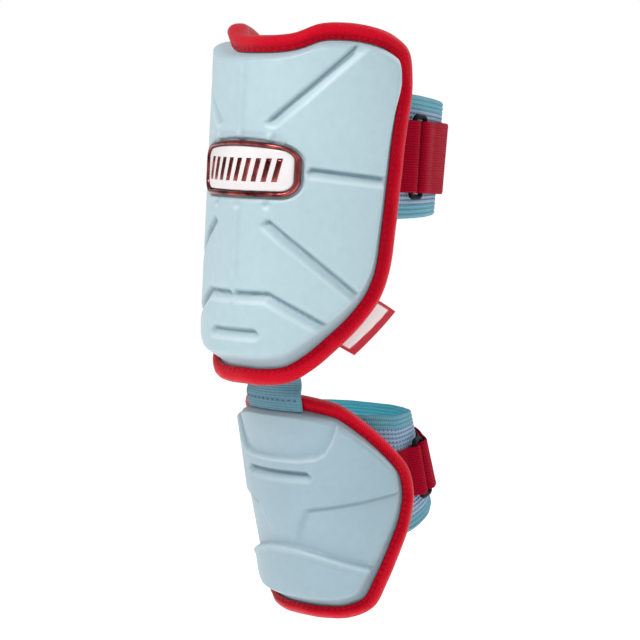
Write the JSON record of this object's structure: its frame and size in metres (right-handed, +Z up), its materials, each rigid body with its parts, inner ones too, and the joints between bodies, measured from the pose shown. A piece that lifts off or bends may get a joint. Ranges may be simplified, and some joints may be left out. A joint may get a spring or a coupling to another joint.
{
  "type": "batter's elbow guard",
  "caption": "Batter's elbow guard: moulded foam shells for the upper arm and the forearm, bound in tape, joined by an elastic link and held by elastic bands with ring straps.",
  "frame": {"origin": "on the axis of the arm that wears it, level with the badge's middle in height", "axes": "+Z up along the upper arm towards the shoulder, -Y the way the shells face, +X towards the flank with the strap rings"},
  "size_m": [0.1088, 0.1308, 0.2756],
  "materials": {
    "foam": "light blue moulded foam with a smooth satin skin",
    "lining": "pale grey padded cloth",
    "binding": "red folded tape, fine weave",
    "elastic": "light blue ribbed elastic",
    "webbing": "dark red ribbed webbing",
    "ring": "black moulded plastic",
    "badge": "white gloss",
    "badge_rim": "dark red metallised plastic",
    "label": "woven red label with a pale field"
  },
  "bodies": {
    "root": {"upper_shell": "foam", "upper_lining": "lining", "upper_binding": "binding", "upper_band": "elastic", "upper_anchor_web": "webbing", "upper_ring": "ring", "upper_pull_strap": "webbing", "badge_plate": "badge", "badge_rim": "badge_rim", "side_label": "label", "elastic_link": "elastic", "lower_shell": "foam", "lower_lining": "lining", "lower_binding": "binding", "lower_band": "elastic", "lower_anchor_web": "webbing", "lower_ring": "ring", "lower_pull_strap": "webbing"}
  },
  "joints": []
}
